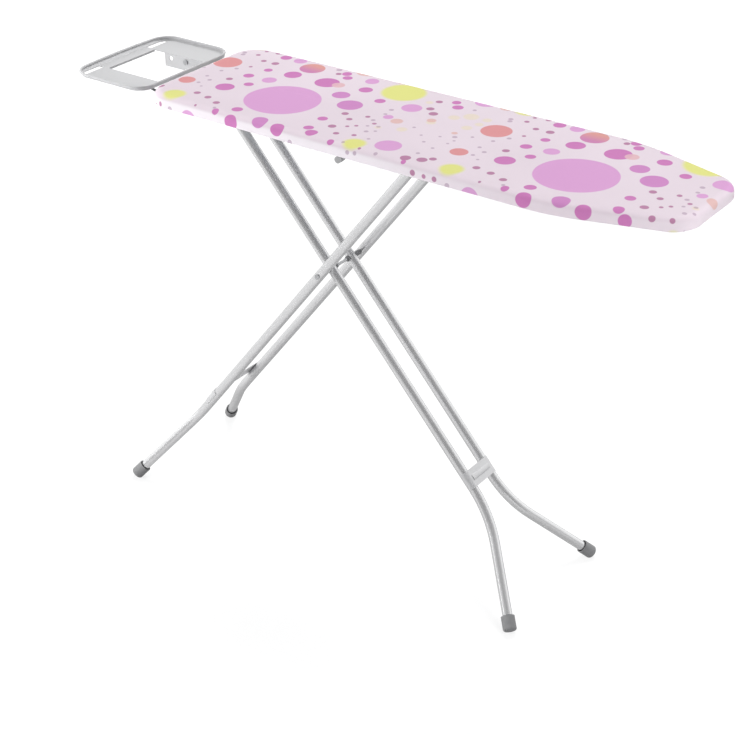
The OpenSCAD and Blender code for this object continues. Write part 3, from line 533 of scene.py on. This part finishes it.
# %% Mesh helpers
def mesh_object(name, verts, faces, material, smooth=True):
    mesh = bpy.data.meshes.new(name)
    mesh.from_pydata([tuple(v) for v in verts], [], faces)
    mesh.materials.append(material)
    mesh.polygons.foreach_set("use_smooth", [smooth] * len(mesh.polygons))
    mesh.update()
    made = bpy.data.objects.new(name, mesh)
    scene.collection.objects.link(made)
    return made


def ring_faces(rows, count, closed_rows=False):
    """Quads between rows of points that each go once around an outline."""
    faces = []
    for r in range(rows if closed_rows else rows - 1):
        a, b = r * count, ((r + 1) % rows) * count
        for k in range(count):
            after = (k + 1) % count
            faces.append((a + k, a + after, b + after, b + k))
    return faces


def cap_rows(obj, count, rows):
    """Closes a swept shape across the given rows, each with count points."""
    work = bmesh.new()
    work.from_mesh(obj.data)
    work.verts.ensure_lookup_table()
    for row in rows:
        work.faces.new([work.verts[row * count + k] for k in range(count)])
    bmesh.ops.triangulate(work, faces=[f for f in work.faces if len(f.verts) > 4])
    bmesh.ops.recalc_face_normals(work, faces=work.faces)
    work.to_mesh(obj.data)
    work.free()
    obj.data.polygons.foreach_set("use_smooth", [True] * len(obj.data.polygons))


def set_flat_cut(obj, cut):
    """Stores where each point lies on the flat cloth, in metres."""
    layer = obj.data.uv_layers.new(name="flat_cut")
    for loop in obj.data.loops:
        layer.data[loop.index].uv = cut[loop.vertex_index]


def apply_modifiers(obj):
    bpy.context.view_layer.objects.active = obj
    for other in bpy.context.selected_objects:
        other.select_set(False)
    obj.select_set(True)
    for modifier in list(obj.modifiers):
        bpy.ops.object.modifier_apply(modifier=modifier.name)


print("mesh helpers are ready")

# %% [markdown]
# ## Cotton cover
# On the real board the cover is one flat piece of cotton that is stretched over the pad and
# drawn together under the edge. It is swept here in rows around the board's outline: rows on
# the top shrink towards the middle line, and the outer rows go over the rounded edge, down the
# side and under it as the hem. The cloth is smooth where it is stretched, and puckers a little
# on the side, most of all around the corners, where there is too much of it.

# %% Cotton cover
CROWN_W, CROWN_H = 0.020, 0.015
HEM_W = 0.024
FOLD_R = 0.0022


def spine_of(points, inset_x):
    """The point of the board's middle line that each outline point shrinks towards."""
    x = np.clip(points[:, 0], REAR_X + inset_x, NOSE_X - inset_x)
    return np.stack([x, np.zeros(len(x))], axis=1)


def crown(width, height, power, steps):
    """Steps over a soft rounded edge: how far out, how far down and the length of cloth so far."""
    found, length, before = [], 0.0, (0.0, 0.0)
    for k in range(1, steps + 1):
        angle = math.radians(90 * k / steps)
        out = width * math.sin(angle) ** (2 / power)
        down = height * (1 - max(0.0, math.cos(angle)) ** (2 / power))
        length += math.dist((out, down), before)
        before = (out, down)
        found.append((out, down, length))
    return found


def edge_profile():
    """Rows over the edge: how far out from the flat top, height, and length of cloth so far."""
    rows = [(out, SURFACE_Z - down, length) for out, down, length in crown(CROWN_W, CROWN_H, 2.5, 10)]
    top = rows[-1]
    side = top[1] - EDGE_Z - FOLD_R
    for k in range(1, 4):
        rows.append((CROWN_W, top[1] - side * k / 3, top[2] + side * k / 3))
    low = rows[-1]
    for k in range(1, 5):
        angle = math.radians(22.5 * k)
        rows.append((CROWN_W - FOLD_R * (1 - math.cos(angle)), low[1] - FOLD_R * math.sin(angle),
                     low[2] + FOLD_R * angle))
    under = rows[-1]
    for k in range(1, 6):
        rows.append((under[0] - HEM_W * k / 5, under[1], under[2] + HEM_W * k / 5))
    return rows


def pucker(points, outs, along):
    """How far the cloth stands off at each outline point, from 0 to about 1."""
    turning = np.linalg.norm(np.roll(outs, -1, 0) - np.roll(outs, 1, 0), axis=1)
    corner = np.convolve(np.tile(turning, 3), np.ones(9) / 9, "same")[len(turning):2 * len(turning)]
    corner = np.clip(corner / 0.25, 0, 1)
    slow = 0.5 + 0.5 * np.sin(along * 23.0 + 1.3 * np.sin(along * 7.0))
    quick = 0.5 + 0.5 * np.sin(along * 210.0 + 2.0 * np.sin(along * 31.0))
    return 0.30 * slow + 0.10 * quick + 0.75 * corner * quick


def make_cover():
    edge, outs = rounded(board_corners, CROWN_W, 0.008, 16)
    along = np.concatenate([[0], np.cumsum(np.linalg.norm(np.diff(edge, axis=0), axis=1))])
    stand = pucker(edge, outs, along)
    spine = spine_of(edge, 0.15)
    verts, cut = [], []
    top_rows = 26
    for k in range(1, top_rows + 1):
        flat = spine + (edge - spine) * k / top_rows
        swell = 0.0004 * (np.sin(flat[:, 0] * 19 + 1) * np.sin(flat[:, 1] * 24 + flat[:, 0] * 6) - 1)
        fade = min(1.0, (top_rows - k) / 3)
        verts.append(np.column_stack([flat, SURFACE_Z + swell * fade]))
        cut.append(flat)
    profile = edge_profile()
    for number, (out, z, length) in enumerate(profile):
        share = min(1.0, max(0.0, (length - 0.6 * CROWN_W) / 0.022))
        off = out + 0.0011 * share * stand
        drop = 0.0012 * max(0.0, share - 0.4) * stand
        flat = edge + outs * off[:, None]
        verts.append(np.column_stack([flat, z - drop]))
        cut.append(edge + outs * length)
    count = len(edge)
    rows = len(verts)
    faces = ring_faces(rows, count)
    made = mesh_object("cover_cloth", np.concatenate(verts), faces, cover_cotton)
    cap_rows(made, count, [0])
    set_flat_cut(made, np.concatenate(cut))
    thick = made.modifiers.new("cloth", "SOLIDIFY")
    thick.thickness = 0.0006
    thick.offset = -1
    apply_modifiers(made)
    flat_edge = edge + outs * profile[-1][2]
    size = flat_edge.max(0) - flat_edge.min(0)
    return made, size, enclosed_area(flat_edge)


cover, cut_size, cut_area = make_cover()
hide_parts("cover")
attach(cover, "board")
print("cover:", len(cover.data.vertices), "points, cut", cut_size.round(3), "m,", round(cut_area, 3), "m2")

# %% [markdown]
# ## Pad
# Under the cotton lies a felt-like foam pad, cut to the outline of the board. It only shows from
# below, through the holes of the perforated sheet, but it carries the cover.

# %% Pad
def foam():
    n = Nodes("pad_foam")
    cells = n.noise(700.0, 3.0)
    base = n.blend(n.ramp(cells, 0.35, 0.7), tone(226, 226, 220), tone(206, 206, 199))
    return n.finish(Base_Color=base, Roughness=0.95, Specular_IOR_Level=0.1,
                    Normal=n.bump(cells, 0.0004))


pad_foam = foam()


def make_pad():
    low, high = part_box("foam_pad")
    inset = low.x - REAR_X
    edge, outs = rounded(board_corners, CROWN_W, 0.014, 12)
    spine = spine_of(edge, 0.15)
    verts = []
    for k in range(1, 9):
        verts.append(np.column_stack([spine + (edge - spine) * k / 8, np.full(len(edge), high.z)]))
    for out, down, _ in crown(CROWN_W - inset, high.z - low.z, 1.65, 7):
        verts.append(np.column_stack([edge + outs * out, np.full(len(edge), high.z - down)]))
    for k in range(7, 0, -1):
        verts.append(np.column_stack([spine + (edge - spine) * k / 8, np.full(len(edge), low.z)]))
    made = mesh_object("pad", np.concatenate(verts), ring_faces(len(verts), len(edge)), pad_foam)
    cap_rows(made, len(edge), [0, len(verts) - 1])
    return made


pad = make_pad()
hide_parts("foam_pad")
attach(pad, "board")
print("pad:", len(pad.data.vertices), "points")

# %% [markdown]
# ## Rim of the iron rest
# The rest is one pressed sheet: a flat tray whose wall leans outwards and ends in a rolled bead.
# Toward the board the wall stands upright. It leans by a different amount on each side, so the rim
# is lofted between two outlines with the same number of points, one under the bead and one around
# the tray.

# %% Rim of the iron rest
REST_R = 0.039
REST_BOW = 0.006
BEAD_R = 0.0025
WALL_T = 0.0013
SIDE_STEPS = (26, 14, 26, 18)


def rest_loops():
    low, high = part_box("rest_rim")
    tray_low, tray_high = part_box("rest_tray")
    half = high.y
    outer = [(low.x, -half, REST_R), (high.x, -half, REST_R), (high.x, half, REST_R), (low.x, half, REST_R)]
    outer = [(x + (REST_BOW if x == low.x else 0), y, r) for x, y, r in outer]
    inner_r = REST_R - 0.010
    inner = [
        (tray_low.x, tray_low.y, inner_r), (tray_high.x, tray_low.y, inner_r),
        (tray_high.x, tray_high.y, inner_r), (tray_low.x, tray_high.y, inner_r),
    ]
    return outer, inner, low, high, tray_high


def bowed(points, left_x, half):
    """Bows the outer side: points near left_x move out, most in the middle."""
    share = np.clip(1 - (points[:, 0] - left_x - REST_BOW) / 0.02, 0, 1)
    arch = np.clip(1 - (points[:, 1] / (half - REST_R * 0.5)) ** 2, 0, 1)
    moved = points.copy()
    moved[:, 0] -= REST_BOW * share * arch
    return moved


def make_rest_rim():
    outer, inner, low, high, tray_high = rest_loops()
    half = high.y
    top_z = high.z
    foot_z = tray_high.z
    tray, tray_outs = rounded(inner, 0.0, SIDE_STEPS, 9)

    def ring(inset, z):
        points, _ = rounded(outer, inset, SIDE_STEPS, 9)
        return np.column_stack([bowed(points, low.x, half), np.full(len(points), z)])

    def wall(share, side):
        """A row on the wall, from the bead at 0 to the tray at 1; side moves it inwards."""
        start = ring(0.0018 + side, top_z - 2 * BEAD_R + 0.0006)
        end = np.column_stack([tray - tray_outs * side, np.full(len(tray), foot_z)])
        upright = np.clip((tray_outs[:, 0] - 0.25) / 0.6, 0, 1)
        inward = share * (1 - upright) + max(0.0, (share - 0.6) / 0.4) * upright
        fall = share ** 0.85 * (1 - upright) + min(1.0, share / 0.6) * upright
        row = start + (end - start) * np.column_stack([inward, inward, fall])
        if side == 0.0:
            row[:, 2] -= 0.0009 * fall
        return row

    rows = []
    for degrees in (*range(-60, 211, 30), 235):
        angle = math.radians(degrees)
        rows.append(ring(BEAD_R - BEAD_R * math.cos(angle), top_z - BEAD_R + BEAD_R * math.sin(angle)))
    for share in (0.12, 0.35, 0.6, 0.82, 0.94, 1.0):
        rows.append(wall(share, WALL_T))
    last = rows[-1].copy()
    last[:, 2] -= 0.0009
    rows.append(last)
    foot = wall(1.0, 0.0)
    foot[:, 2] -= 0.0006
    rows.append(foot)
    for share in (0.94, 0.82, 0.6, 0.35, 0.12):
        rows.append(wall(share, 0.0))
    count = len(tray)
    made = mesh_object("rest_rim_rolled", np.concatenate(rows),
                       ring_faces(len(rows), count, closed_rows=True), rest_paint)
    smooth = made.modifiers.new("smooth", "SUBSURF")
    smooth.levels = smooth.render_levels = 1
    apply_modifiers(made)
    return made


rest_rim = make_rest_rim()
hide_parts("rest_rim")
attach(rest_rim, "board")
print("rest rim:", len(rest_rim.data.vertices), "points")

# %% [markdown]
# ## Painted shade rings at the foot caps
# A thin dark ring of the rubber finish is put at each cap's mouth as painted shade: it stands for
# the shadow in the gap where the tube goes in, and shows as a dark line there. The mouth is found
# on the cap itself: of the flat faces that look up along the leg, it is the farthest one, because
# the other is the bottom of the bore.

# %% Painted shade rings at the foot caps
# Size of the painted shade ring at each cap's mouth, and the radius of the leg tube it sits on.
SHADE_RING_R, SHADE_RING_OUT, TUBE_R = 0.0011, 0.0008, 0.010


def cap_mouth(node):
    """Centre and direction of the open end of a cap."""
    groups = {}
    for face in frame["nodes"][node].data.polygons:
        if face.normal.z > 0.1:
            groups.setdefault(tuple(round(c, 2) for c in face.normal), []).append(face)
    upward = max(groups.values(), key=lambda faces: sum(face.area for face in faces))
    axis = upward[0].normal.normalized()
    reach = max(face.center.dot(axis) for face in upward)
    mouth = [face for face in upward if face.center.dot(axis) > reach - 0.0005]
    area = sum(face.area for face in mouth)
    return sum((face.center * face.area for face in mouth), Vector()) / area, axis


def make_painted_shade_ring(node, around=40, steps=8):
    centre, axis = cap_mouth(node)
    side = axis.orthogonal().normalized()
    other = axis.cross(side)
    rows = []
    for k in range(steps):
        angle = 2 * math.pi * k / steps
        reach = TUBE_R + SHADE_RING_OUT + SHADE_RING_R * math.cos(angle)
        lift = SHADE_RING_R * math.sin(angle)
        for j in range(around):
            turn = 2 * math.pi * j / around
            rows.append(centre + (side * math.cos(turn) + other * math.sin(turn)) * reach + axis * lift)
    # Painted shade: a dark rubber ring at the cap's mouth stands for the shadow in the gap around the tube.
    return mesh_object(node + "_painted_shade_ring", rows, ring_faces(steps, around, closed_rows=True), lining_rubber)


for legs in ("inner", "outer"):
    for end in ("near", "far"):
        shade_ring = make_painted_shade_ring(f"{legs}_foot_{end}")
        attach(shade_ring, legs + "_legs")
print("cap lips: 4")

# %% [markdown]
# ## Finish of the frame's own pieces
# Every piece that the frame brings keeps its shape and gets the finish of its slot.

# %% Finishes by slot
finishes = {
    "cover_cotton": cover_cotton, "pad_foam": pad_foam, "frame_paint": frame_paint,
    "tube_paint": tube_paint, "plate_paint": plate_paint, "rest_paint": rest_paint,
    "arm_paint": arm_paint, "rod_steel": rod_steel, "foot_plastic": foot_plastic,
    "grip_plastic": grip_plastic, "dark_plastic": dark_plastic, "lining_rubber": lining_rubber,
}
for part in frame["record"]["subparts"]:
    node = frame["nodes"][part["node"]]
    node.data.materials.clear()
    node.data.materials.append(finishes[part["material_slot"]])

# %% [markdown]
# ## Floor
# A white studio floor. To the eye it is nearly white by itself, a little more so far away from
# the lamps, and keeps a soft share of its real shading, so the feet have their shadow. In
# reflections it is greyer under the board, where the board shades it, and lighter further out:
# the far side of each tube mirrors that grey. For light that bounces it is a mid grey, because a
# white floor would wash out the dark side of the tubes.

# %% Floor
FLOOR_GLOW = 0.74


def studio_floor():
    n = Nodes("studio_floor")
    path = n.node("LightPath")
    seen, mirrored = path.outputs["Is Camera Ray"], path.outputs["Is Glossy Ray"]
    n.finish(Base_Color=n.blend(seen, (0.50, 0.50, 0.51, 1), (1, 1, 1, 1)), Roughness=0.9,
             Specular_IOR_Level=0.0)
    glow = n.node("Emission")
    away = n.vector("MULTIPLY", n.vector("SUBTRACT", n.place(), (0.0, 0.30, 0.0)), (1 / 0.9, 1 / 0.6, 0))
    shaded = n.ramp(n.vector("LENGTH", away), 0.55, 1.25, 0.42, 0.70, smooth=True)
    far = n.ramp(n.vector("LENGTH", n.place()), 1.4, 3.5, 1.08, 1.34, smooth=True)
    strength = n.math("MAXIMUM", shaded, n.math("MULTIPLY", seen, far))
    n.feed(glow, {"Color": (1, 1, 1, 1), "Strength": strength})
    share = n.math("MAXIMUM", n.math("MULTIPLY", seen, FLOOR_GLOW), mirrored)
    mixed = n.node("MixShader")
    n.feed(mixed, {"Fac": share})
    n.tree.links.new(n.shader.outputs[0], mixed.inputs[1])
    n.tree.links.new(glow.outputs[0], mixed.inputs[2])
    n.tree.links.new(mixed.outputs[0], n.tree.nodes["Material Output"].inputs["Surface"])
    return n.material


FLOOR_R = 14.0
turns = [math.radians(degrees) for degrees in range(0, 360, 6)]
rim = [(FLOOR_R * math.cos(turn), FLOOR_R * math.sin(turn), 0) for turn in turns]
floor = mesh_object("floor", rim, [tuple(range(len(rim)))], studio_floor(), smooth=False)
print("floor radius", FLOOR_R, "m")

# %% Sizes
print("frame box", [[round(c, 4) for c in p] for p in cad_box])
